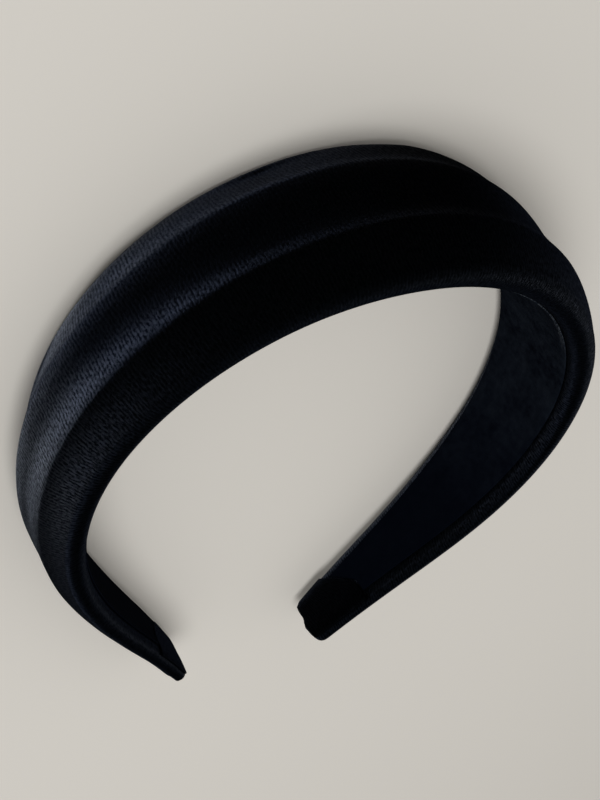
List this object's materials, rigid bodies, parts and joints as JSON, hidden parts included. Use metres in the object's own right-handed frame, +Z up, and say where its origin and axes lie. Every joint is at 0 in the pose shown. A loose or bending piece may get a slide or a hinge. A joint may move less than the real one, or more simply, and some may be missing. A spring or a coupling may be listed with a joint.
{
  "type": "wide padded headband",
  "caption": "Wide padded headband: a tapered open arch with lengthwise crests under ribbed satin and a matte lining inside, lying on its side.",
  "frame": {"origin": "middle of the footprint, on the surface that the band lies on", "axes": "+X from the left leg to the right leg, +Y from the crown towards the tips, +Z up; the front edge is uppermost"},
  "size_m": [0.1356, 0.1502, 0.0409],
  "materials": {
    "satin": "black ribbed satin",
    "lining": "matte blue-black brushed lining",
    "satin_flap": "black ribbed satin, turned in"
  },
  "bodies": {
    "root": {"padded_cover": "satin", "lining": "lining", "end_flap_left": "satin_flap", "end_flap_right": "satin_flap"}
  },
  "joints": []
}
